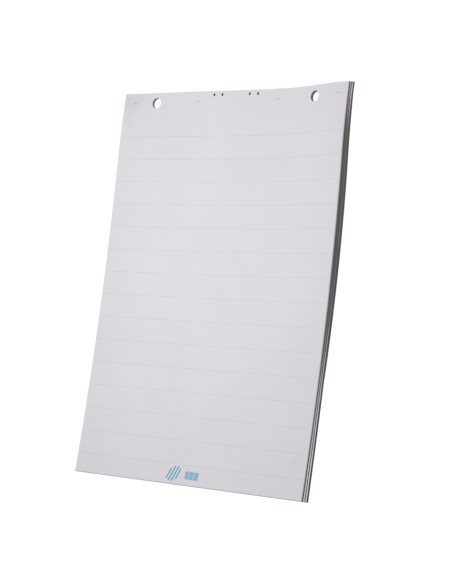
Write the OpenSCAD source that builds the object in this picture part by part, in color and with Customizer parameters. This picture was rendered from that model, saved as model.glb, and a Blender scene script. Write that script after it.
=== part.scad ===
// Flip chart pad: a block of large sheets on a grey back board, held by four wire staples along the top.
// It hangs by two round holes. The front of the pad faces -Y and its top edge points to +Z.
// The origin is midway between the two hang holes, in the middle of the pad's thickness.
// A place on a sheet is given as u, the distance from its left edge, and v, the distance from its top edge.

/* [Sheets] */
// Width of a sheet laid flat
sheet_w = 600; // [520:5:760]
// Height of a sheet
sheet_h = 840; // [600:5:1100]
// Thickness of the block of sheets where the staples press it together
block_t = 5.4; // [2:0.1:12]
// Thickness of the back board
board_t = 1.5; // [0.8:0.1:4]
// Clearance between the block of sheets and the back board
board_gap = 0.1; // [0.05:0.05:0.5]

/* [Sag of the leaning pad] */
// Distance of the deepest upright line of the sag from the left edge
valley_u = 350; // [200:5:400]
// How far the left edge curls forward at the top
left_curl = 31; // [0:1:45]
// How far the right edge curls forward at the top
right_curl = 37; // [0:1:45]
// How far the pad bows back at half its height
belly_bow = 5; // [0:0.5:15]
// How far the middle of the top edge nods forward
top_nod = 8; // [0:0.5:12]
// How far the top corners lean back
corner_lean = 8; // [0:0.5:12]
// Height of the band below the top edge that nods forward
nod_reach = 150; // [80:5:300]

/* [Fanned sheets] */
// How far the last sheet stands out to the right of the first
fan = 9; // [1:0.5:14]
// Width of each step between the three bundles of sheets at the top edge
step_top = 2.8; // [0.2:0.1:4]
// Width of each step between the three bundles of sheets at the bottom edge
step_foot = 2.6; // [0.2:0.1:4]
// Width of each step between the three bundles of sheets where they close up
step_min = 0.2; // [0.1:0.1:1]
// How far the sheets loosen at the level where they bulge most
bulge = 6; // [0:0.5:12]
// How far the sheets loosen at the bottom edge
foot_splay = 4; // [0:0.5:10]

/* [Holes] */
// Distance between the centres of the two hang holes on the flat sheet
hang_spacing = 420; // [300:5:480]
// Diameter of a hang hole
hang_d = 23; // [8:0.5:30]
// Depth of the hang holes' centres below the top edge
hang_drop = 23; // [18:0.5:40]
// Distance between the two middle file holes on the flat sheet
file_gap = 70; // [50:1:90]
// Distance between the two file holes of a pair on the flat sheet
file_pitch = 21; // [12:1:40]
// Diameter of a file hole
file_d = 6; // [4:0.5:8]
// Depth of the file holes' centres below the top edge
file_drop = 8.5; // [6:0.5:14]

/* [Staples] */
// Length of a staple's crown
crown_l = 12.5; // [8:0.5:20]
// Height of the flat staple wire, seen from the front
wire_h = 0.8; // [0.4:0.1:1.2]
// Thickness of the flat staple wire
wire_t = 0.5; // [0.3:0.1:0.8]
// Length of a leg's bent end behind the board
clinch_l = 4.5; // [2:0.5:5.5]
// Distance of an outer staple from the side edge of the sheet
staple_inset = 27.5; // [15:0.5:40]
// Distance between the two inner staples
staple_gap = 206; // [140:2:240]
// How far the row of staples is off the middle, to the right
staple_shift = 4.5; // [-10:0.5:10]
// Depth of the staples below the top edge
staple_drop = 22; // [16:0.5:40]
// Clearance around the legs in the sheets and the board
leg_clear = 0.15; // [0.05:0.05:0.4]
// Clearance of the crown and the bent ends from the faces that they lie on
wire_seat = 0.3; // [0.25:0.05:0.6]

/* [Hidden] */

// Stations across and down the sheets
across = 24;
down = 18;
station_power = 1.4;
station_w = sheet_w / across;
// Powers that shape the two curls and their fading towards the bottom edge
left_power = 1.3;
right_power = 1.6;
fade_power = 2.1;
// Shares of the block's thickness in the front, middle and rear bundle
bundle_share = [0.4, 0.25, 0.35];
// The staples hold the sheets flat on each other down to this level, and the bulge ends at the other one
hold_level = staple_drop + 5;
bulge_foot = 600;
bulge_power = 0.7;
splay_power = 4;
// Levels between which the steps between the bundles are closed up
step_top_level = 130;
step_foot_level = 450;

pad_t = block_t + board_gap + board_t;
hang_u = [sheet_w / 2 - hang_spacing / 2, sheet_w / 2 + hang_spacing / 2];
file_offset = [-file_gap / 2 - file_pitch, -file_gap / 2, file_gap / 2, file_gap / 2 + file_pitch];
staple_u = [staple_inset + staple_shift, sheet_w / 2 - staple_gap / 2 + staple_shift,
            sheet_w / 2 + staple_gap / 2 + staple_shift, sheet_w - staple_inset + staple_shift];
drill_l = 4 * (left_curl + right_curl + pad_t + bulge + foot_splay);
round_fn = 64;

// Depth of the front sheet behind a flat plane through its bottom edge
function unit(s) = min(1, max(0, s));
function ease(s) = (1 - cos(180 * s)) / 2;
function left_rise(u) = left_curl * pow(unit((valley_u - u) / valley_u), left_power);
function right_rise(u) = right_curl * ease(pow(unit((u - valley_u) / (sheet_w - valley_u)), right_power));
function middle(u) = sin(180 * unit(u / sheet_w));
function nod(u, v) =
    pow(unit(1 - v / nod_reach), 2) * (top_nod * middle(u) - corner_lean * (1 - middle(u)));
function bow(v) = 4 * belly_bow * (v / sheet_h) * (1 - v / sheet_h);
function sag(u, v) = bow(v) - pow(1 - v / sheet_h, fade_power) * (left_rise(u) + right_rise(u)) - nod(u, v);
function slope(u, v) = atan((sag(u + 1, v) - sag(u - 1, v)) / 2);

// Sideways places of the stations: a sheet keeps its width while it curls, so its chord is shorter
function chord_step(i, v) =
    sqrt(station_w * station_w - pow(sag((i + 1) * station_w, v) - sag(i * station_w, v), 2));
function chord_row(v) = [for (i = 0, x = 0; i <= across; x = x + chord_step(i, v), i = i + 1) x];
function centred_row(v) = let(row = chord_row(v)) [for (x = row) x - row[across / 2]];
function x_on(u, v) = let(row = centred_row(v)) lookup(u, [for (i = [0:across]) [i * station_w, row[i]]]);

// The origin lies midway between the hang holes
origin_x = (x_on(hang_u[0], hang_drop) + x_on(hang_u[1], hang_drop)) / 2;
origin_y = (sag(hang_u[0], hang_drop) + sag(hang_u[1], hang_drop) + pad_t) / 2;

// How far the sheets loosen, and how wide the steps between the bundles are, at one level
function loosening(v) =
    bulge * pow(sin(180 * unit((v - hold_level) / (bulge_foot - hold_level))), bulge_power)
    + foot_splay * pow(v / sheet_h, splay_power);
function step_w(v) =
    step_min + (step_top - step_min) * pow(unit(1 - v / step_top_level), 2)
    + (step_foot - step_min) * unit((v - step_foot_level) / (sheet_h - step_foot_level));

// Profile of the fanned side at one level: how far to the right and how far back each turn of it lies
function block_profile(v) =
    let(
        t = block_t + loosening(v),
        s = step_w(v),
        lean = fan - 2 * s,
        a = bundle_share[0],
        b = a + bundle_share[1]
    )
    [[0, 0], [lean * a, t * a], [lean * a + s, t * a], [lean * b + s, t * b], [lean * b + 2 * s, t * b], [fan, t]];
function board_profile(v) =
    let(front = block_t + loosening(v) + board_gap)
    [[fan, front], [fan, front + board_t]];

// One closed ring of points around the slab at one level, and the slab that joins all rings
function level(j) =
    j == 0 ? 0 : hold_level + (sheet_h - hold_level) * pow((j - 1) / (down - 1), station_power);
function ring_point(row, i, v, turn) =
    [row[i] - origin_x + turn[0], sag(i * station_w, v) - origin_y + turn[1], hang_drop - v];
function ring(v, profile) =
    let(row = centred_row(v), last = len(profile) - 1)
    concat(
        [for (i = [0:across]) ring_point(row, i, v, profile[0])],
        [for (k = [1:1:last - 1]) ring_point(row, across, v, profile[k])],
        [for (i = [across:-1:0]) ring_point(row, i, v, profile[last])],
        [for (k = [last - 1:-1:1]) ring_point(row, 0, v, profile[k])]
    );

// An end face of the slab, split so that every part of it is seen whole from its own first corner:
// one part at each side, where the profile turns, and a row of four-sided parts between them
function end_face(count) =
    let(turns = count / 2 - across + 1, right = across + turns)
    concat(
        [[for (k = [0:turns + 1]) (count + 1 - k) % count]],
        [for (i = [1:across - 2]) [i + 1, i, count - turns + 1 - i, count - turns - i]],
        [[for (k = [0:turns + 1]) right - k]]
    );
function turned(face, shift) = [for (k = [0:len(face) - 1]) shift + face[k == 0 ? 0 : len(face) - k]];

// Each four-sided part between two levels is split from its upper left to its lower right corner, in front and
// behind alike, so that sheets and board stay the same distance apart
function side_faces(a, b, count, in_front) =
    in_front ? [[a, b, b + count], [a, b + count, a + count]] : [[a, b, a + count], [b, b + count, a + count]];

module slab(rings) {
    count = len(rings[0]);
    last = len(rings) - 1;
    sides = [for (j = [0:last - 1]) for (i = [0:count - 1]) each
        side_faces(j * count + i, j * count + (i + 1) % count, count, i < across)];
    top = end_face(count);
    bottom = [for (face = top) turned(face, last * count)];
    polyhedron([for (r = rings) each r], concat(sides, top, bottom));
}

// A round hole through the whole pad, at a place on the front sheet
module pad_hole(u, v, d) {
    translate([x_on(u, v) - origin_x, 0, hang_drop - v])
    rotate([90, 0, 0])
    cylinder(h = drill_l, d = d, center = true, $fn = round_fn);
}

module all_holes() {
    for (u = hang_u) pad_hole(u, hang_drop, hang_d);
    for (offset = file_offset) pad_hole(sheet_w / 2 + offset, file_drop, file_d);
    for (u = staple_u) at_staple(u) staple_legs(leg_clear, drill_l / 2);
}

// A place on the front sheet, turned to follow its slope
module at_staple(u) {
    translate([x_on(u, staple_drop) - origin_x, sag(u, staple_drop) - origin_y, hang_drop - staple_drop])
    rotate([0, 0, slope(u, staple_drop)])
    children();
}

// Two straight legs that run into the pad, with a clearance around them
module staple_legs(clear, depth) {
    for (side = [-1, 1])
    translate([side * (crown_l - wire_t) / 2 - wire_t / 2 - clear, -wire_seat - wire_t, -wire_h / 2 - clear])
    cube([wire_t + 2 * clear, depth, wire_h + 2 * clear]);
}

// How deep the board's back face lies at the farther leg, measured along the legs
function board_depth(u) =
    let(turn = slope(u, staple_drop))
    max([for (x = [-crown_l / 2, crown_l / 2])
        (pad_t + sag(u + x - fan, staple_drop) - sag(u, staple_drop)) * cos(turn) - x * sin(turn)]);

// One wire staple: crown in front, legs through the pad, ends bent inwards behind the board
module staple(u) {
    color("silver")
    at_staple(u) {
        through = board_depth(u);
        translate([-crown_l / 2, -wire_seat - wire_t, -wire_h / 2])
        cube([crown_l, wire_t, wire_h]);
        staple_legs(0, through + 2 * wire_seat + 2 * wire_t);
        for (side = [-1, 1])
        translate([side * (crown_l - clinch_l) / 2 - clinch_l / 2, through + wire_seat, -wire_h / 2])
        cube([clinch_l, wire_t, wire_h]);
    }
}

// All the sheets as one solid, fanned in three bundles, with the hang holes and the file holes
module sheet_block() {
    color([0.87, 0.87, 0.89])
    difference() {
        slab([for (j = [0:down]) ring(level(j), block_profile(level(j)))]);
        all_holes();
    }
}

// The board behind the sheets, which follows the last sheet
module back_board() {
    color([0.45, 0.43, 0.42])
    difference() {
        slab([for (j = [0:down]) ring(level(j), board_profile(level(j)))]);
        all_holes();
    }
}

module staple_outer_left() { staple(staple_u[0]); }
module staple_inner_left() { staple(staple_u[1]); }
module staple_inner_right() { staple(staple_u[2]); }
module staple_outer_right() { staple(staple_u[3]); }

sheet_block();
back_board();
staple_outer_left();
staple_inner_left();
staple_inner_right();
staple_outer_right();
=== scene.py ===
"""Looks of the flip chart pad: layered sheets with ruling and printed marks, grey board, wire staples."""
import math

import bmesh
import bpy
import numpy as np
from mathutils import Matrix, Vector


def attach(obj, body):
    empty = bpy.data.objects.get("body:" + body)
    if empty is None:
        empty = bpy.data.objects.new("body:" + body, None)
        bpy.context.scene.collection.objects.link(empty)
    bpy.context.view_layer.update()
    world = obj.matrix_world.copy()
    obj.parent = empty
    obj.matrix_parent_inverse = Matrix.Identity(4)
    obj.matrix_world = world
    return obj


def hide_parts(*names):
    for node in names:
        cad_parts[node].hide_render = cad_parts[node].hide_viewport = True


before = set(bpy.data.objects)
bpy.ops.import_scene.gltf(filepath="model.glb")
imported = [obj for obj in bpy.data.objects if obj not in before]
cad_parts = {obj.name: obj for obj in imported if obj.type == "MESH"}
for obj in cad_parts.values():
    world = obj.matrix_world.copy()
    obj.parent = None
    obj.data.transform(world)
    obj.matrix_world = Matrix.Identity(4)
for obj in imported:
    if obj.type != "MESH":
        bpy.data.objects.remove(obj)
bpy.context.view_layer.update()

MM = 0.001

# The photograph's frame, and the camera in the pad's own frame. The pad leans back in the photograph, so
# the photograph's upright direction leans forward here.
FRAME_HEIGHT_PX = 584
FOCAL_PX = 1629.6
SENSOR_MM = 36.0
PIXEL_CENTRE = 0.5
EYE = Vector((2.11214, -2.62276, -0.84848))
TARGET = Vector((0.05431, 0.0, -0.41290))
UPRIGHT = Vector((-0.0332, -0.1890, 0.9814))

# Driving sizes in millimetres, as in the pad's construction
SHEET_W, SHEET_H = 600.0, 840.0
BLOCK_T, BOARD_T, BOARD_GAP = 5.4, 1.5, 0.1
VALLEY_U, LEFT_CURL, RIGHT_CURL = 350.0, 31.0, 37.0
BELLY_BOW, TOP_NOD, CORNER_LEAN, NOD_REACH = 5.0, 8.0, 8.0, 150.0
LEFT_POWER, RIGHT_POWER, FADE_POWER = 1.3, 1.6, 2.1
FAN, STEP_TOP, STEP_FOOT, STEP_MIN = 9.0, 2.8, 2.6, 0.2
STEP_TOP_LEVEL, STEP_FOOT_LEVEL = 130.0, 450.0
BULGE, BULGE_FOOT, BULGE_POWER = 6.0, 600.0, 0.7
FOOT_SPLAY, SPLAY_POWER = 4.0, 4.0
HANG_SPACING, HANG_D, HANG_DROP = 420.0, 23.0, 23.0
FILE_GAP, FILE_PITCH, FILE_D, FILE_DROP = 70.0, 21.0, 6.0, 8.5
CROWN_L, WIRE_H, WIRE_T, CLINCH_L = 12.5, 0.8, 0.5, 4.5
STAPLE_INSET, STAPLE_GAP, STAPLE_SHIFT, STAPLE_DROP = 27.5, 206.0, 4.5, 22.0
LEG_CLEAR, WIRE_SEAT = 0.15, 0.3
HOLD_LEVEL = STAPLE_DROP + 5
PAD_T = BLOCK_T + BOARD_GAP + BOARD_T

# The three fanned bundles: where each starts and ends in the block's depth, and its number of sheets
BUNDLES = ((0.0, 0.40, 20), (0.40, 0.65, 12), (0.65, 1.0, 18))

# The sheets' edges: depth of the groove between two, its share of a sheet's depth on either side, how far
# single sheets stand out sideways, and where the two rims of an edge lie within a sheet's number. The number
# jumps by less from one bundle to the next, since there is no groove there.
GROOVE = 0.22
EDGE_SHARE = 0.13
SHEET_SHIFT = 0.10
SEED = 7
FRONT_RIM, REAR_RIM = 0.1, 0.9
BUNDLE_JUMP, JUMP_CLEAR = FRONT_RIM + 1 - REAR_RIM, 0.05

# How far the board's rims are eased
BOARD_EASE = 0.25

# Places in a slab's list of materials
FACE, EDGE, STEP, WALL = 0, 1, 2, 3

# Rows and columns of the meshes, points at which a sheet's curl is measured, sides of the round cutters, how
# far the cutters reach, and how near two points are joined, in metres
COLUMNS, ROWS = 72, 96
STATIONS = 121
HANG_SIDES, FILE_SIDES = 96, 40
CUT_REACH = 60.0
MERGE_M = 1e-6

# The wire's eased corners, the radius of its bends, and the steps around each
WIRE_EASE, WIRE_BEND, BEND_STEPS = 0.12, 0.45, 6

# Printing on the front sheet, in millimetres from its left and top edges
LINE_FIRST, LINE_PITCH, LINE_W, LINE_COUNT = 97.5, 50.0, 0.55, 15
LINE_FROM, LINE_TO = 1.5, 595.5
TEAR_LEVEL, TEAR_PITCH, TEAR_W, TEAR_FROM, TEAR_LAND = 50.0, 4.0, 0.5, 0.4, 1.0
HATCH_BOX, HATCH_LEAN, HATCH_PITCH, HATCH_W = (256.0, 801.0, 289.0, 834.0), 0.50, 8.2, 3.3
BARS_BOX, BARS_PITCH = (303.5, 810.0, 339.0, 826.5), 13.0

# How the staples pull the paper in: how far it reaches, and how deep against the paper's grain
DIMPLE_REACH, DIMPLE_DEPTH = 24.0, 7.0

# Marks on the front sheet, each a place and how far it reaches: two of handling, and a crease's painted shade
CORNER_MARK, FINGER_MARK, FOOT_CREASE_SHADE = ((8.0, 20.0), 75.0), ((22.0, 68.0), 16.0), ((570.0, 768.0), 22.0)
SPECK = ((3.0, 121.0), 1.6)

# Painted shade along the front sheet's rim, a thin brownish band: how wide it is at the side and at the foot
RIM_SIDE, RIM_FOOT = 0.8, 1.5

# Brownish painted light on the front sheets' edges: between which levels it grows, after which sheets it
# fades
FRONT_LIT_FROM, FRONT_LIT_TO = 320.0, 620.0
FRONT_SHEETS = (5.0, 8.0)

# The steps between the bundles, in painted shade: levels and shades of the front one, its painted lighter
# top, and the rear one, the sheets between which the rear one starts, and where a browner tint near the top
# ends
FRONT_SHADE, FRONT_TOP = (330.0, 830.0, 0.32, 1.08), (20.0, 120.0, 0.12, 0.0)
REAR_SHADE, REAR_SHEETS = (2.0, 14.0, 0.55, 1.12), (25.0, 26.0)
STEP_TOP_TINT = (60.0, 220.0, 0.45, 0.0)

# Heights of the fine relief on paper, cut edges, board and wire, in metres
PAPER_GRAIN, EDGE_GRAIN, BOARD_GRAIN, WIRE_MARKS = 0.00008, 0.00005, 0.00012, 0.00003

# Staging in metres and watts: the floor, then each light's place, aim, width and power
FLOOR_LEVEL, FLOOR_RADIUS, FLOOR_RINGS, FLOOR_SPOKES = -1.35, 2.6, 12, 64
KEY = ((-0.07, -1.12, -0.28), (-0.02, 0.0, -0.32), 0.7, 6.75)
BACK_FILL = ((-1.2, 2.2, 0.6), (0.0, 0.0, -0.4), 1.6, 22)
AMBIENT, BACKDROP = 0.40, 1.05


def unit(s):
    """The value held between zero and one."""
    return np.clip(s, 0, 1)


def sag(u, v):
    """Depth of the front sheet behind a flat plane through its bottom edge."""
    left = LEFT_CURL * unit((VALLEY_U - u) / VALLEY_U) ** LEFT_POWER
    s = unit((u - VALLEY_U) / (SHEET_W - VALLEY_U)) ** RIGHT_POWER
    right = RIGHT_CURL * (1 - np.cos(np.pi * s)) / 2
    middle = np.sin(np.pi * unit(u / SHEET_W))
    nod = unit(1 - v / NOD_REACH) ** 2 * (TOP_NOD * middle - CORNER_LEAN * (1 - middle))
    bow = 4 * BELLY_BOW * (v / SHEET_H) * (1 - v / SHEET_H)
    return bow - unit(1 - v / SHEET_H) ** FADE_POWER * (left + right) - nod


def across_at(u, v):
    """Sideways place of points on a sheet: it keeps its width while it curls, so its chord is shorter."""
    u, v = np.broadcast_arrays(np.asarray(u, float), np.asarray(v, float))
    stations = np.linspace(0, SHEET_W, STATIONS)
    step = stations[1]
    levels, which = np.unique(v, return_inverse=True)
    which = which.reshape(v.shape)
    result = np.empty(u.shape)
    for k, level in enumerate(levels):
        rise = np.diff(sag(stations, level))
        row = np.concatenate([[0], np.cumsum(np.sqrt(step * step - rise * rise))])
        row -= row[STATIONS // 2]
        here = which == k
        result[here] = np.interp(u[here], stations, row)
    return result


HANG_U = (SHEET_W / 2 - HANG_SPACING / 2, SHEET_W / 2 + HANG_SPACING / 2)
FILE_U = tuple(SHEET_W / 2 + s * (FILE_GAP / 2 + k * FILE_PITCH) for s in (-1, 1) for k in (0, 1))
STAPLE_U = {
    "outer_left": STAPLE_INSET + STAPLE_SHIFT,
    "inner_left": SHEET_W / 2 - STAPLE_GAP / 2 + STAPLE_SHIFT,
    "inner_right": SHEET_W / 2 + STAPLE_GAP / 2 + STAPLE_SHIFT,
    "outer_right": SHEET_W - STAPLE_INSET + STAPLE_SHIFT,
}
ORIGIN_X = float(np.mean(across_at(np.array(HANG_U), HANG_DROP)))
ORIGIN_Y = float(np.sum(sag(np.array(HANG_U), HANG_DROP)) + PAD_T) / 2


def loosening(v):
    """How much thicker the block of sheets is at a level than where it is stapled."""
    swell = np.sin(np.pi * unit((v - HOLD_LEVEL) / (BULGE_FOOT - HOLD_LEVEL)))
    return BULGE * unit(swell) ** BULGE_POWER + FOOT_SPLAY * unit(v / SHEET_H) ** SPLAY_POWER


def step_width(v):
    """How far each bundle stands out beyond the one before it."""
    top = (STEP_TOP - STEP_MIN) * unit(1 - v / STEP_TOP_LEVEL) ** 2
    foot = (STEP_FOOT - STEP_MIN) * unit((v - STEP_FOOT_LEVEL) / (SHEET_H - STEP_FOOT_LEVEL))
    return STEP_MIN + top + foot


def place(u, v, aside, depth):
    """Points of the pad in metres: a place on the front sheet, moved to the right and back."""
    x = across_at(u, v) - ORIGIN_X + aside
    y = sag(u, v) - ORIGIN_Y + depth
    z = HANG_DROP - v + 0 * x
    return np.stack([x, y, z], axis=-1) * MM


def bundle_layer(index, share, inset, number, shift):
    """One layer through the thickness, at a share of the block's depth in the bundle of that index.

    A layer is the inset of the sheet's edge, its sideways place and its depth, these two as functions of the
    level, and the number of the sheet that it belongs to.
    """
    def aside(v):
        return (FAN - 2 * step_width(v)) * share + index * step_width(v) + shift

    def depth(v):
        return (BLOCK_T + loosening(v)) * share

    return inset, aside, depth, number


def sheet_layers():
    """Three layers for each sheet: the two rims of its edge, and the groove to the next sheet."""
    rng = np.random.default_rng(SEED)
    layers = [bundle_layer(0, 0.0, 0.0, 0.0, 0.0)]
    number = 0
    for index, (start, end, count) in enumerate(BUNDLES):
        size = (end - start) / count
        for k in range(count):
            first = number == 0
            shift = 0.0 if first else float(rng.uniform(-SHEET_SHIFT, SHEET_SHIFT))
            low = start + (k + (0 if first else EDGE_SHARE)) * size
            high = start + (k + 1 - EDGE_SHARE) * size
            if not first:
                layers.append(bundle_layer(index, low, 0.0, number + FRONT_RIM, shift))
            layers.append(bundle_layer(index, high, 0.0, number + REAR_RIM, shift))
            number += 1
            if k < count - 1:
                layers.append(bundle_layer(index, start + (k + 1) * size, GROOVE, number, 0.0))
    return layers


def board_layers():
    """The board's layers, with slightly eased rims."""
    def at(depth_in_board):
        return lambda v: BLOCK_T + loosening(v) + BOARD_GAP + depth_in_board

    def aside(v):
        return FAN + 0 * v

    profile = [(BOARD_EASE, 0), (0, BOARD_EASE), (0, BOARD_T - BOARD_EASE), (BOARD_EASE, BOARD_T)]
    return [(inset, aside, at(depth), number) for number, (inset, depth) in enumerate(profile)]


def outline():
    """Places around the rim of a sheet, clockwise seen from the front, and the distance along it."""
    us = np.linspace(0, SHEET_W, COLUMNS + 1)
    vs = np.linspace(0, SHEET_H, ROWS + 1)
    u = np.concatenate([us, np.full(ROWS, SHEET_W), us[-2::-1], np.zeros(ROWS - 1)])
    v = np.concatenate([np.zeros(COLUMNS + 1), vs[1:], np.full(COLUMNS, SHEET_H), vs[-2:0:-1]])
    return u, v


def shrink(u, v, inset):
    """Places drawn in evenly, so that the sheet's rim lies the inset further in."""
    return inset + (SHEET_W - 2 * inset) * u / SHEET_W, inset + (SHEET_H - 2 * inset) * v / SHEET_H


def face_grid(layer, turned):
    """Points, faces and sheet coordinates of a whole front or back surface."""
    inset, aside, depth, _ = layer
    u, v = np.meshgrid(np.linspace(0, SHEET_W, COLUMNS + 1), np.linspace(0, SHEET_H, ROWS + 1))
    u, v = shrink(u, v, inset)
    points = place(u, v, aside(v), depth(v)).reshape(-1, 3)
    coordinates = np.stack([u, v], axis=-1).reshape(-1, 2) * MM
    faces = []
    for j in range(ROWS):
        for i in range(COLUMNS):
            a = j * (COLUMNS + 1) + i
            face = [a, a + COLUMNS + 1, a + COLUMNS + 2, a + 1]
            faces.append(face[::-1] if turned else face)
    return points, faces, coordinates


def slab_object(name, layers, materials):
    """A closed slab: front surface, back surface and the layered rim between them."""
    mesh = bpy.data.meshes.new(name)
    bm = bmesh.new()
    uv = bm.loops.layers.uv.new("sheet")

    def add(points, faces, coordinates, material, smooth):
        verts = [bm.verts.new(p) for p in points]
        for face in faces:
            made = bm.faces.new([verts[k] for k in face])
            made.material_index = material
            made.smooth = smooth
            for loop, k in zip(made.loops, face):
                loop[uv].uv = coordinates[k]

    add(*face_grid(layers[0], False), FACE, True)
    add(*face_grid(layers[-1], True), FACE, True)
    u, v = outline()
    along = np.concatenate([[0], np.cumsum(np.hypot(np.diff(u), np.diff(v)))])
    count = len(u)
    rings = []
    for inset, aside, depth, number in layers:
        iu, iv = shrink(u, v, inset)
        coordinates = np.stack([along * MM, np.full(count, number)], -1)
        rings.append((place(iu, iv, aside(iv), depth(iv)), coordinates))
    for (points_a, uv_a), (points_b, uv_b) in zip(rings, rings[1:]):
        jump = abs(uv_a[0, 1] - uv_b[0, 1])
        faces = [[k, (k + 1) % count, count + (k + 1) % count, count + k] for k in range(count)]
        material = STEP if abs(jump - BUNDLE_JUMP) < JUMP_CLEAR else EDGE
        add(np.concatenate([points_a, points_b]), faces, np.concatenate([uv_a, uv_b]), material, False)
    bmesh.ops.remove_doubles(bm, verts=bm.verts, dist=MERGE_M)
    bmesh.ops.recalc_face_normals(bm, faces=bm.faces)
    bm.to_mesh(mesh)
    bm.free()
    for material in materials:
        mesh.materials.append(material)
    obj = bpy.data.objects.new(name, mesh)
    bpy.context.scene.collection.objects.link(obj)
    return obj


def cutter(materials):
    """Every hole through the pad: hang holes, file holes and the holes of the staples' legs."""
    mesh = bpy.data.meshes.new("cutter")
    bm = bmesh.new()
    uv = bm.loops.layers.uv.new("sheet")
    holes = [(u, HANG_DROP, HANG_D, HANG_SIDES) for u in HANG_U]
    holes += [(u, FILE_DROP, FILE_D, FILE_SIDES) for u in FILE_U]
    for u, v, size, segments in holes:
        centre = Vector(((float(across_at(u, v)) - ORIGIN_X) * MM, 0, (HANG_DROP - v) * MM))
        turn = Matrix.Translation(centre) @ Matrix.Rotation(math.pi / 2, 4, "X")
        bmesh.ops.create_cone(bm, cap_ends=True, segments=segments, radius1=size / 2 * MM,
                              radius2=size / 2 * MM, depth=2 * CUT_REACH * MM, matrix=turn)
    reach = CROWN_L / 2 - WIRE_T / 2
    leg_hole = (WIRE_T + 2 * LEG_CLEAR, CUT_REACH, WIRE_H + 2 * LEG_CLEAR)
    for u in STAPLE_U.values():
        for side in (-1, 1):
            size = Matrix.Diagonal((*(side_mm * MM for side_mm in leg_hole), 1))
            shift = Matrix.Translation((side * reach * MM, 0, 0))
            bmesh.ops.create_cube(bm, size=1, matrix=staple_frame(u) @ shift @ size)
    for face in bm.faces:
        face.material_index = WALL
        for loop in face.loops:
            loop[uv].uv = (loop.vert.co.x + loop.vert.co.z, loop.vert.co.y * sheets_per_metre())
    bm.to_mesh(mesh)
    bm.free()
    for material in materials:
        mesh.materials.append(material)
    obj = bpy.data.objects.new("cutter", mesh)
    bpy.context.scene.collection.objects.link(obj)
    return obj


def sheets_per_metre():
    """Sheets in a metre of the block's depth."""
    return sum(count for _, _, count in BUNDLES) / (BLOCK_T * MM)


def cut_holes(obj, tool):
    """Cuts the tool out of a slab and keeps the result as its mesh."""
    cut = obj.modifiers.new("holes", "BOOLEAN")
    cut.object = tool
    cut.operation = "DIFFERENCE"
    cut.solver = "EXACT"
    cut.material_mode = "INDEX"
    bpy.context.view_layer.update()
    depsgraph = bpy.context.evaluated_depsgraph_get()
    mesh = bpy.data.meshes.new_from_object(obj.evaluated_get(depsgraph))
    obj.modifiers.clear()
    old = obj.data
    obj.data = mesh
    bpy.data.meshes.remove(old)
    mesh.name = obj.name


def sharpen(obj):
    """Sharp edges wherever a smooth surface ends at a rim, so that its shading stays even up to there."""
    bm = bmesh.new()
    bm.from_mesh(obj.data)
    for edge in bm.edges:
        kinds = {face.material_index for face in edge.link_faces}
        edge.smooth = kinds == {FACE}
    bm.to_mesh(obj.data)
    bm.free()


def staple_slope(u):
    """How far the front sheet turns away from the straight line across, at a staple."""
    return math.atan(float(sag(u + 1, STAPLE_DROP) - sag(u - 1, STAPLE_DROP)) / 2)


def staple_frame(u):
    """The frame of a staple: on the front sheet, and square to it."""
    spot = place(np.array([u]), np.array([STAPLE_DROP]), 0, 0)[0]
    return Matrix.Translation(Vector(spot)) @ Matrix.Rotation(staple_slope(u), 4, "Z")


def board_depth(u):
    """How deep the board's back face lies at the farther leg, measured along the legs."""
    turn = staple_slope(u)
    depths = []
    for x in (-CROWN_L / 2, CROWN_L / 2):
        deeper = float(sag(u + x - FAN, STAPLE_DROP) - sag(u, STAPLE_DROP))
        depths.append((PAD_T + deeper) * math.cos(turn) - x * math.sin(turn))
    return max(depths)


def wire_path(through):
    """Centre line of a staple's wire: clinched end, leg, crown, leg, clinched end, with rounded bends."""
    reach = (CROWN_L - WIRE_T) / 2
    front, back = -WIRE_SEAT - WIRE_T / 2, through + WIRE_SEAT + WIRE_T / 2
    tip = reach - CLINCH_L + WIRE_T
    corners = [(-tip, back), (-reach, back), (-reach, front), (reach, front), (reach, back), (tip, back)]
    path = [Vector(corners[0])]
    for before, here, after in zip(corners, corners[1:], corners[2:]):
        before, here, after = Vector(before), Vector(here), Vector(after)
        into, out = (before - here).normalized(), (after - here).normalized()
        for k in range(BEND_STEPS + 1):
            a = math.radians(90 * k / BEND_STEPS)
            path.append(here + WIRE_BEND * ((1 - math.sin(a)) * into + (1 - math.cos(a)) * out))
    path.append(Vector(corners[-1]))
    return path


def wire_object(name, u, material):
    """A flat wire with eased edges, swept along its path."""
    path = wire_path(board_depth(u))
    t, h, c = WIRE_T / 2, WIRE_H / 2, WIRE_EASE
    profile = [(-t, -h + c), (-t, h - c), (-t + c, h), (t - c, h),
               (t, h - c), (t, -h + c), (t - c, -h), (-t + c, -h)]
    bm = bmesh.new()
    rings = []
    for k, point in enumerate(path):
        along = (path[min(k + 1, len(path) - 1)] - path[max(k - 1, 0)]).normalized()
        normal = Vector((-along.y, along.x))
        ring = [Vector((*(point + a * normal), b)) for a, b in profile]
        rings.append([bm.verts.new(p * MM) for p in ring])
    for one, two in zip(rings, rings[1:]):
        for k in range(len(profile)):
            n = (k + 1) % len(profile)
            bm.faces.new([one[k], one[n], two[n], two[k]])
    bm.faces.new(rings[0])
    bm.faces.new(rings[-1][::-1])
    bmesh.ops.recalc_face_normals(bm, faces=bm.faces)
    bm.transform(staple_frame(u))
    mesh = bpy.data.meshes.new(name)
    bm.to_mesh(mesh)
    bm.free()
    mesh.materials.append(material)
    obj = bpy.data.objects.new(name, mesh)
    bpy.context.scene.collection.objects.link(obj)
    return obj


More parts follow.
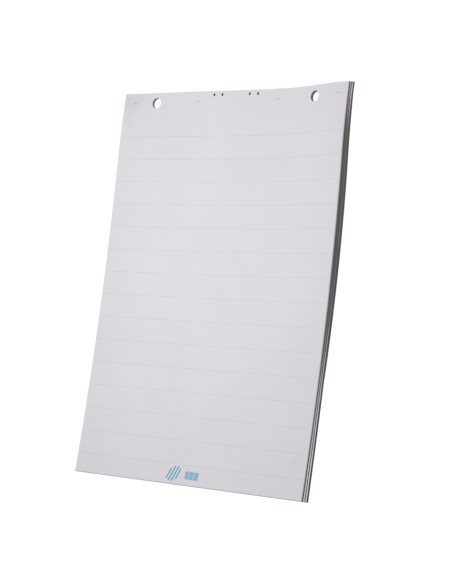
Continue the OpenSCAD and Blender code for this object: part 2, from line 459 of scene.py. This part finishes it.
class Nodes:
    """Short forms for building a material's nodes."""

    def __init__(self, name):
        self.material = bpy.data.materials.new(name)
        self.material.use_nodes = True
        self.tree = self.material.node_tree
        self.shader = self.tree.nodes["Principled BSDF"]

    def add(self, kind, **settings):
        """A new node with its settings."""
        node = self.tree.nodes.new(kind)
        for key, value in settings.items():
            setattr(node, key, value)
        return node

    def join(self, value, socket):
        """Sets a number or a colour on a socket, or links another node's output to it."""
        if isinstance(value, (int, float)):
            socket.default_value = value
        elif isinstance(value, tuple):
            socket.default_value = value if len(value) == len(socket.default_value) else (*value, 1.0)
        else:
            self.tree.links.new(value, socket)

    def math(self, operation, *values):
        """The result of a sum on numbers or outputs."""
        node = self.add("ShaderNodeMath", operation=operation)
        for value, socket in zip(values, node.inputs):
            self.join(value, socket)
        return node.outputs[0]

    def ramp(self, value, low, high, to_low=0.0, to_high=1.0):
        """The value carried over from one range to another, and held at its ends."""
        node = self.add("ShaderNodeMapRange", clamp=True)
        for v, socket in zip((value, low, high, to_low, to_high), node.inputs):
            self.join(v, socket)
        return node.outputs[0]

    def mix(self, share, one, two, blend="MIX"):
        """Two colours mixed by a share of the second."""
        node = self.add("ShaderNodeMix", data_type="RGBA", blend_type=blend)
        self.join(share, node.inputs["Factor"])
        self.join(one, node.inputs[6])
        self.join(two, node.inputs[7])
        return node.outputs[2]

    def noise(self, scale, detail=2.0, stretch=None, source=None):
        """Noise in the object's own coordinates, or in those given."""
        node = self.add("ShaderNodeTexNoise")
        node.inputs["Scale"].default_value = scale
        node.inputs["Detail"].default_value = detail
        vector = source if source is not None else self.object_place()
        if stretch is not None:
            mapping = self.add("ShaderNodeMapping")
            mapping.inputs["Scale"].default_value = stretch
            self.join(vector, mapping.inputs["Vector"])
            vector = mapping.outputs[0]
        self.join(vector, node.inputs["Vector"])
        return node.outputs["Fac"]

    def grey(self, value):
        """The same value in all three channels."""
        node = self.add("ShaderNodeCombineColor")
        for socket in node.inputs:
            self.join(value, socket)
        return node.outputs[0]

    def object_place(self):
        """The object's own coordinates."""
        return self.add("ShaderNodeTexCoord").outputs["Object"]

    def sheet_place(self):
        """Distances from the left and the top edge of the sheet, in millimetres."""
        uv = self.add("ShaderNodeUVMap", uv_map="sheet")
        parts = self.add("ShaderNodeSeparateXYZ")
        self.join(uv.outputs[0], parts.inputs[0])
        return tuple(self.math("MULTIPLY", part, 1 / MM) for part in parts.outputs[:2])

    def inside(self, value, low, high, soft=0.05):
        """One between two values and zero outside them, with a soft change."""
        over = self.ramp(value, low - soft, low + soft)
        under = self.ramp(value, high - soft, high + soft, 1.0, 0.0)
        return self.math("MULTIPLY", over, under)

    def box(self, u, v, corners, soft=0.15):
        """One inside a box on the sheet, given by its left, top, right and bottom."""
        return self.math("MULTIPLY", self.inside(u, corners[0], corners[2], soft),
                         self.inside(v, corners[1], corners[3], soft))

    def near(self, u, v, centre, reach):
        """One at a place on the sheet, falling softly to zero at a distance from it."""
        du, dv = self.math("SUBTRACT", u, centre[0]), self.math("SUBTRACT", v, centre[1])
        squares = self.math("ADD", self.math("MULTIPLY", du, du), self.math("MULTIPLY", dv, dv))
        far = self.math("SQRT", squares)
        node = self.add("ShaderNodeMapRange", interpolation_type="SMOOTHSTEP")
        for value, socket in zip((far, 0.0, reach, 1.0, 0.0), node.inputs):
            self.join(value, socket)
        return node.outputs[0]

    def bump(self, height, strength, distance):
        """Fine relief on the shader's normal."""
        node = self.add("ShaderNodeBump")
        node.inputs["Strength"].default_value = strength
        node.inputs["Distance"].default_value = distance
        self.join(height, node.inputs["Height"])
        self.join(node.outputs[0], self.shader.inputs["Normal"])


# Base colours
PAPER = (0.835, 0.812, 0.862)
RULE_BLUE = (0.49, 0.68, 0.79)
PRINT_BLUE = (0.04, 0.42, 0.65)
BARS_BLUE = (0.29, 0.54, 0.72)
RIM_SHADE_BROWN = (0.32, 0.22, 0.21)
FRONT_EDGE_LIT_BROWN = (0.84, 0.75, 0.74)
STEP_BROWN = (0.68, 0.53, 0.51)
SMUDGE_AND_SHADE_BROWN = (0.42, 0.30, 0.29)
SPECK_BROWN = (0.20, 0.17, 0.15)
SLIT_SHADE_GREY = (0.42, 0.41, 0.43)
# Painted shade: the sheets' white cut edges are given a dark grey for the shade between the sheets
EDGE_SHADE_GREY = (0.178, 0.166, 0.168)
# Painted shade: the punched walls are given a mid grey for the shade inside the holes
WALL_SHADE_GREY = (0.40, 0.39, 0.40)
BOARD_GREY = (0.40, 0.375, 0.36)
# Painted shade: the board's cut rim is a darker copy of the board's grey
BOARD_RIM_SHADE_GREY = (0.165, 0.155, 0.152)
FLECK_BROWN = (0.14, 0.12, 0.11)
WIRE_DARK, WIRE_LIGHT = (0.62, 0.63, 0.66), (0.78, 0.79, 0.81)
FLOOR_GREY = 0.88


def ruling(n, u, v):
    """Pale blue lines, evenly spaced, that stop short of the side edges."""
    row = n.math("SUBTRACT", v, LINE_FIRST - LINE_PITCH / 2)
    within = n.math("MODULO", row, LINE_PITCH)
    line = n.inside(within, LINE_PITCH / 2 - LINE_W / 2, LINE_PITCH / 2 + LINE_W / 2, 0.08)
    last = LINE_FIRST + (LINE_COUNT - 0.5) * LINE_PITCH
    field = n.box(u, v, (LINE_FROM, LINE_FIRST - LINE_PITCH / 2, LINE_TO, last))
    ink = n.ramp(n.noise(260.0), 0.25, 0.7, 0.75, 1.0)
    return n.math("MULTIPLY", n.math("MULTIPLY", line, field), ink)


def tear_line(n, u, v):
    """Short slits along which a sheet tears off."""
    within = n.math("MODULO", u, TEAR_PITCH)
    slit = n.inside(within, TEAR_FROM, TEAR_PITCH - TEAR_LAND, 0.15)
    field = n.box(u, v, (0.5, TEAR_LEVEL - TEAR_W / 2, SHEET_W - 0.5, TEAR_LEVEL + TEAR_W / 2), 0.12)
    return n.math("MULTIPLY", slit, field)


def hatch(n, u, v):
    """A plain oval field of slanted strokes."""
    left, top, right, bottom = HATCH_BOX
    across = n.math("SUBTRACT", u, (left + right) / 2)
    down = n.math("SUBTRACT", v, (top + bottom) / 2)
    leaning = n.math("ADD", across, n.math("MULTIPLY", down, HATCH_LEAN))
    within = n.math("PINGPONG", leaning, HATCH_PITCH / 2)
    stroke = n.inside(within, HATCH_PITCH / 2 - HATCH_W / 2, HATCH_PITCH, 0.3)
    half_w, half_h = (right - left) / 2, (bottom - top) / 2
    out = n.math("ADD", n.math("POWER", n.math("ABSOLUTE", n.math("DIVIDE", leaning, half_w)), 2.0),
                 n.math("POWER", n.math("ABSOLUTE", n.math("DIVIDE", down, half_h)), 2.0))
    return n.math("MULTIPLY", stroke, n.ramp(out, 0.95, 1.05, 1.0, 0.0))


def bars(n, u, v):
    """A plain field of upright bars of two widths."""
    within = n.math("MODULO", n.math("SUBTRACT", u, BARS_BOX[0]), BARS_PITCH)
    wide = n.inside(within, 0.0, 0.55 * BARS_PITCH, 0.2)
    thin = n.inside(within, 0.70 * BARS_PITCH, 0.84 * BARS_PITCH, 0.2)
    field = n.box(u, v, BARS_BOX, 0.2)
    return n.math("MULTIPLY", field, n.ramp(n.math("MAXIMUM", wide, thin), 0, 1, 0.55, 1.0))


def rim(n, u, v):
    """The cut rim of the sheet, in a thin brownish painted shade at its right side and foot."""
    right = n.math("MULTIPLY", n.inside(u, SHEET_W - RIM_SIDE, SHEET_W + 5, 0.25), 0.6)
    foot = n.inside(v, SHEET_H - RIM_FOOT, SHEET_H + 5, 0.25)
    return n.math("MAXIMUM", right, foot)


def paper_material():
    """Matt uncoated paper: ruling, tear line, printed marks, slight signs of handling and painted shade."""
    n = Nodes("pad_paper")
    u, v = n.sheet_place()
    cloud = n.ramp(n.noise(9.0, 3.0), 0.3, 0.7, 0.985, 1.01)
    fibre = n.ramp(n.noise(900.0, 4.0), 0.3, 0.7, 0.985, 1.01)
    tone = n.math("MULTIPLY", cloud, fibre)
    colour = n.mix(1.0, PAPER, n.grey(tone), "MULTIPLY")
    smudge_and_crease_shade = n.math("MAXIMUM", n.near(u, v, *CORNER_MARK), n.near(u, v, *FINGER_MARK))
    # Painted shade of a faint crease near the foot, as a darker brownish patch
    smudge_and_crease_shade = n.math("MAXIMUM", smudge_and_crease_shade, n.math("MULTIPLY", n.near(u, v, *FOOT_CREASE_SHADE), 0.35))
    smudge_and_crease_shade = n.math("MULTIPLY", smudge_and_crease_shade, n.ramp(n.noise(45.0, 3.0), 0.35, 0.65, 0.05, 0.16))
    colour = n.mix(smudge_and_crease_shade, colour, SMUDGE_AND_SHADE_BROWN)
    speck = n.near(u, v, *SPECK)
    colour = n.mix(n.math("MULTIPLY", speck, 0.6), colour, SPECK_BROWN)
    slits = tear_line(n, u, v)
    # Painted shade in the tear line's slits, which are also cut into the relief
    colour = n.mix(n.math("MULTIPLY", slits, 0.22), colour, SLIT_SHADE_GREY)
    colour = n.mix(ruling(n, u, v), colour, RULE_BLUE)
    colour = n.mix(hatch(n, u, v), colour, PRINT_BLUE)
    colour = n.mix(bars(n, u, v), colour, BARS_BLUE)
    # Painted shade: a thin brownish band along the right side and the foot
    colour = n.mix(n.math("MULTIPLY", rim(n, u, v), 0.6), colour, RIM_SHADE_BROWN)
    n.join(colour, n.shader.inputs["Base Color"])
    n.join(n.ramp(n.noise(400.0), 0.3, 0.7, 0.82, 0.92), n.shader.inputs["Roughness"])
    n.shader.inputs["Specular IOR Level"].default_value = 0.25
    height = n.math("SUBTRACT", n.math("MULTIPLY", n.noise(1500.0, 5.0), 0.25), slits)
    for place_u in STAPLE_U.values():
        pulled = n.math("MULTIPLY", n.near(u, v, (place_u, STAPLE_DROP), DIMPLE_REACH), DIMPLE_DEPTH)
        height = n.math("SUBTRACT", height, pulled)
    n.bump(height, 0.35, PAPER_GRAIN)
    return n.material


def edge_material(name, grey, front_lit_share):
    """Cut edges of the sheets, painted in a grey that stands for their shade between one another, each with
    its own tone.

    The foremost sheets are painted lighter and browner by the given share: painted light on their edges.
    """
    n = Nodes(name)
    uv = n.add("ShaderNodeUVMap", uv_map="sheet").outputs[0]
    parts = n.add("ShaderNodeSeparateXYZ")
    n.join(uv, parts.inputs[0])
    along = n.math("MULTIPLY", parts.outputs[0], 1 / MM)
    # Share of painted light on the foremost sheets' edges, growing down the right side
    brown = n.ramp(along, SHEET_W + FRONT_LIT_FROM, SHEET_W + FRONT_LIT_TO, 0.5 * front_lit_share, 0.9 * front_lit_share)
    front = n.math("MULTIPLY", n.ramp(parts.outputs[1], *FRONT_SHEETS, 1.0, 0.0), brown)
    tone = n.ramp(n.noise(1.0, 2.0, stretch=(2.0, 1.3, 1.0), source=uv), 0.3, 0.7, 0.75, 1.25)
    dirt = n.ramp(n.noise(14.0, 4.0), 0.35, 0.75, 1.0, 0.82)
    colour = n.mix(1.0, grey, n.grey(n.math("MULTIPLY", tone, dirt)), "MULTIPLY")
    # Painted light: the foremost sheets' edges lighter and browner
    colour = n.mix(front, colour, FRONT_EDGE_LIT_BROWN)
    n.join(colour, n.shader.inputs["Base Color"])
    n.join(n.ramp(n.noise(300.0), 0.3, 0.7, 0.86, 0.96), n.shader.inputs["Roughness"])
    n.shader.inputs["Specular IOR Level"].default_value = 0.15
    n.bump(n.noise(2500.0, 3.0), 0.3, EDGE_GRAIN)
    return n.material


def step_material():
    """The narrow strips of sheet that show between the bundles, in painted shade from the bundle before them.
    """
    n = Nodes("pad_sheet_steps")
    parts = n.add("ShaderNodeSeparateXYZ")
    n.join(n.add("ShaderNodeUVMap", uv_map="sheet").outputs[0], parts.inputs[0])
    level = n.math("SUBTRACT", n.math("MULTIPLY", parts.outputs[0], 1 / MM), SHEET_W)
    # Painted shade and light: darker in the front bundle's shade, with a painted lighter top
    front_step = n.math("ADD", n.ramp(level, *FRONT_SHADE), n.ramp(level, *FRONT_TOP))
    rear_step = n.ramp(level, *REAR_SHADE)
    rear = n.ramp(parts.outputs[1], *REAR_SHEETS)
    shade = n.math("ADD", n.math("MULTIPLY", front_step, n.math("SUBTRACT", 1.0, rear)),
                   n.math("MULTIPLY", rear_step, rear))
    tone = n.math("MULTIPLY", shade, n.ramp(n.noise(120.0, 3.0), 0.3, 0.7, 0.9, 1.06))
    colour = n.mix(1.0, PAPER, n.grey(tone), "MULTIPLY")
    # A browner tint near the top of the steps
    colour = n.mix(n.ramp(level, *STEP_TOP_TINT), colour, STEP_BROWN)
    n.join(colour, n.shader.inputs["Base Color"])
    n.join(n.ramp(n.noise(400.0), 0.3, 0.7, 0.84, 0.94), n.shader.inputs["Roughness"])
    n.shader.inputs["Specular IOR Level"].default_value = 0.2
    return n.material


def board_material(name, base):
    """Unbleached grey chipboard with fibre flecks."""
    n = Nodes(name)
    cloud = n.ramp(n.noise(7.0, 4.0), 0.3, 0.7, 0.94, 1.05)
    fibre = n.ramp(n.noise(350.0, 6.0, stretch=(1.0, 1.0, 0.25)), 0.35, 0.65, 0.90, 1.08)
    colour = n.mix(1.0, base, n.grey(n.math("MULTIPLY", cloud, fibre)), "MULTIPLY")
    fleck = n.ramp(n.noise(700.0, 1.0), 0.70, 0.74)
    colour = n.mix(n.math("MULTIPLY", fleck, 0.4), colour, FLECK_BROWN)
    n.join(colour, n.shader.inputs["Base Color"])
    n.join(n.ramp(n.noise(200.0), 0.3, 0.7, 0.8, 0.93), n.shader.inputs["Roughness"])
    n.shader.inputs["Specular IOR Level"].default_value = 0.2
    n.bump(n.noise(600.0, 5.0), 0.5, BOARD_GRAIN)
    return n.material


def wire_material():
    """Galvanised wire with fine drawing marks along it."""
    n = Nodes("pad_staple_wire")
    marks = n.noise(800.0, 3.0, stretch=(0.1, 1.0, 1.0))
    colour = n.mix(n.ramp(marks, 0.3, 0.7), WIRE_DARK, WIRE_LIGHT)
    n.join(colour, n.shader.inputs["Base Color"])
    n.shader.inputs["Metallic"].default_value = 1.0
    n.join(n.ramp(n.noise(1500.0), 0.3, 0.7, 0.45, 0.6), n.shader.inputs["Roughness"])
    n.bump(marks, 0.2, WIRE_MARKS)
    return n.material


def add_camera():
    """The camera of the photograph."""
    data = bpy.data.cameras.new("camera")
    data.sensor_width = SENSOR_MM
    data.lens = SENSOR_MM * FOCAL_PX / FRAME_HEIGHT_PX
    data.shift_x = -PIXEL_CENTRE / FRAME_HEIGHT_PX
    data.shift_y = PIXEL_CENTRE / FRAME_HEIGHT_PX
    data.clip_end = 50
    camera = bpy.data.objects.new("camera", data)
    back = (EYE - TARGET).normalized()
    right = UPRIGHT.cross(back).normalized()
    up = back.cross(right)
    camera.matrix_world = Matrix.Translation(EYE) @ Matrix((right, up, back)).transposed().to_4x4()
    bpy.context.scene.collection.objects.link(camera)
    bpy.context.scene.camera = camera


def add_light(name, spot, aim, size, power):
    """A round soft light at a spot, turned to its aim."""
    data = bpy.data.lights.new(name, "AREA")
    data.shape = "DISK"
    data.size = size
    data.energy = power
    light = bpy.data.objects.new(name, data)
    spot, aim = Vector(spot), Vector(aim)
    light.matrix_world = Matrix.Translation(spot) @ (aim - spot).to_track_quat("-Z", "Y").to_matrix().to_4x4()
    light.visible_camera = False
    bpy.context.scene.collection.objects.link(light)


def add_world():
    """An even pale surround, shown white behind the pad."""
    world = bpy.data.worlds.new("studio")
    world.use_nodes = True
    tree = world.node_tree
    background = tree.nodes["Background"]
    path = tree.nodes.new("ShaderNodeLightPath")
    strength = tree.nodes.new("ShaderNodeMapRange")
    tree.links.new(path.outputs["Is Camera Ray"], strength.inputs["Value"])
    strength.inputs["To Min"].default_value = AMBIENT
    strength.inputs["To Max"].default_value = BACKDROP
    tree.links.new(strength.outputs[0], background.inputs["Strength"])
    background.inputs["Color"].default_value = (1, 1, 1, 1)
    bpy.context.scene.world = world


def add_floor():
    """A pale round floor below the hanging pad, fading out into the surround."""
    bm = bmesh.new()
    centre = bm.verts.new((0, 0, FLOOR_LEVEL))
    angles = [2 * math.pi * s / FLOOR_SPOKES for s in range(FLOOR_SPOKES)]
    loops = []
    for k in range(1, FLOOR_RINGS + 1):
        r = FLOOR_RADIUS * k / FLOOR_RINGS
        loops.append([bm.verts.new((r * math.cos(a), r * math.sin(a), FLOOR_LEVEL)) for a in angles])
    for s in range(FLOOR_SPOKES):
        n = (s + 1) % FLOOR_SPOKES
        bm.faces.new([centre, loops[0][s], loops[0][n]])
        for one, two in zip(loops, loops[1:]):
            bm.faces.new([one[s], two[s], two[n], one[n]])
    mesh = bpy.data.meshes.new("floor")
    bm.to_mesh(mesh)
    bm.free()
    floor = bpy.data.objects.new("floor", mesh)
    bpy.context.scene.collection.objects.link(floor)
    mesh.materials.append(floor_material())


def floor_material():
    """Pale matt floor that fades out towards its rim."""
    n = Nodes("studio_floor")
    length = n.add("ShaderNodeVectorMath", operation="LENGTH")
    flat = n.add("ShaderNodeVectorMath", operation="MULTIPLY")
    n.join(n.object_place(), flat.inputs[0])
    flat.inputs[1].default_value = (1, 1, 0)
    n.join(flat.outputs[0], length.inputs[0])
    n.shader.inputs["Base Color"].default_value = (FLOOR_GREY, FLOOR_GREY, FLOOR_GREY, 1)
    n.shader.inputs["Roughness"].default_value = 0.9
    fade = n.ramp(length.outputs["Value"], 0.35 * FLOOR_RADIUS, 0.97 * FLOOR_RADIUS, 1.0, 0.0)
    n.join(fade, n.shader.inputs["Alpha"])
    return n.material


def build_pad():
    """The pad's pieces, each in place of its own solid."""
    edges = edge_material("pad_sheet_edges", EDGE_SHADE_GREY, 1.0)
    walls = edge_material("pad_punched_walls", WALL_SHADE_GREY, 0.0)
    paper_parts = (paper_material(), edges, step_material(), walls)
    # The board's rim takes the darker grey: painted shade on its cut edges
    board_rim_shade = board_material("pad_board_rim", BOARD_RIM_SHADE_GREY)
    board_parts = (board_material("pad_grey_board", BOARD_GREY), board_rim_shade, board_rim_shade, board_rim_shade)
    sheets = slab_object("sheets", sheet_layers(), paper_parts)
    board = slab_object("board", board_layers(), board_parts)
    for obj, materials in ((sheets, paper_parts), (board, board_parts)):
        tool = cutter(materials)
        cut_holes(obj, tool)
        sharpen(obj)
        bpy.data.objects.remove(tool)
        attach(obj, "root")
    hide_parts("sheet_block")
    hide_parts("back_board")
    wire = wire_material()
    for name, u in STAPLE_U.items():
        staple = wire_object("wire_" + name, u, wire)
        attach(staple, "root")
        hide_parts("staple_" + name)


add_camera()
build_pad()
add_floor()
add_world()
add_light("key", *KEY)
add_light("back_fill", *BACK_FILL)

bpy.context.scene.view_settings.view_transform = "Standard"
bpy.context.scene.view_settings.look = "None"
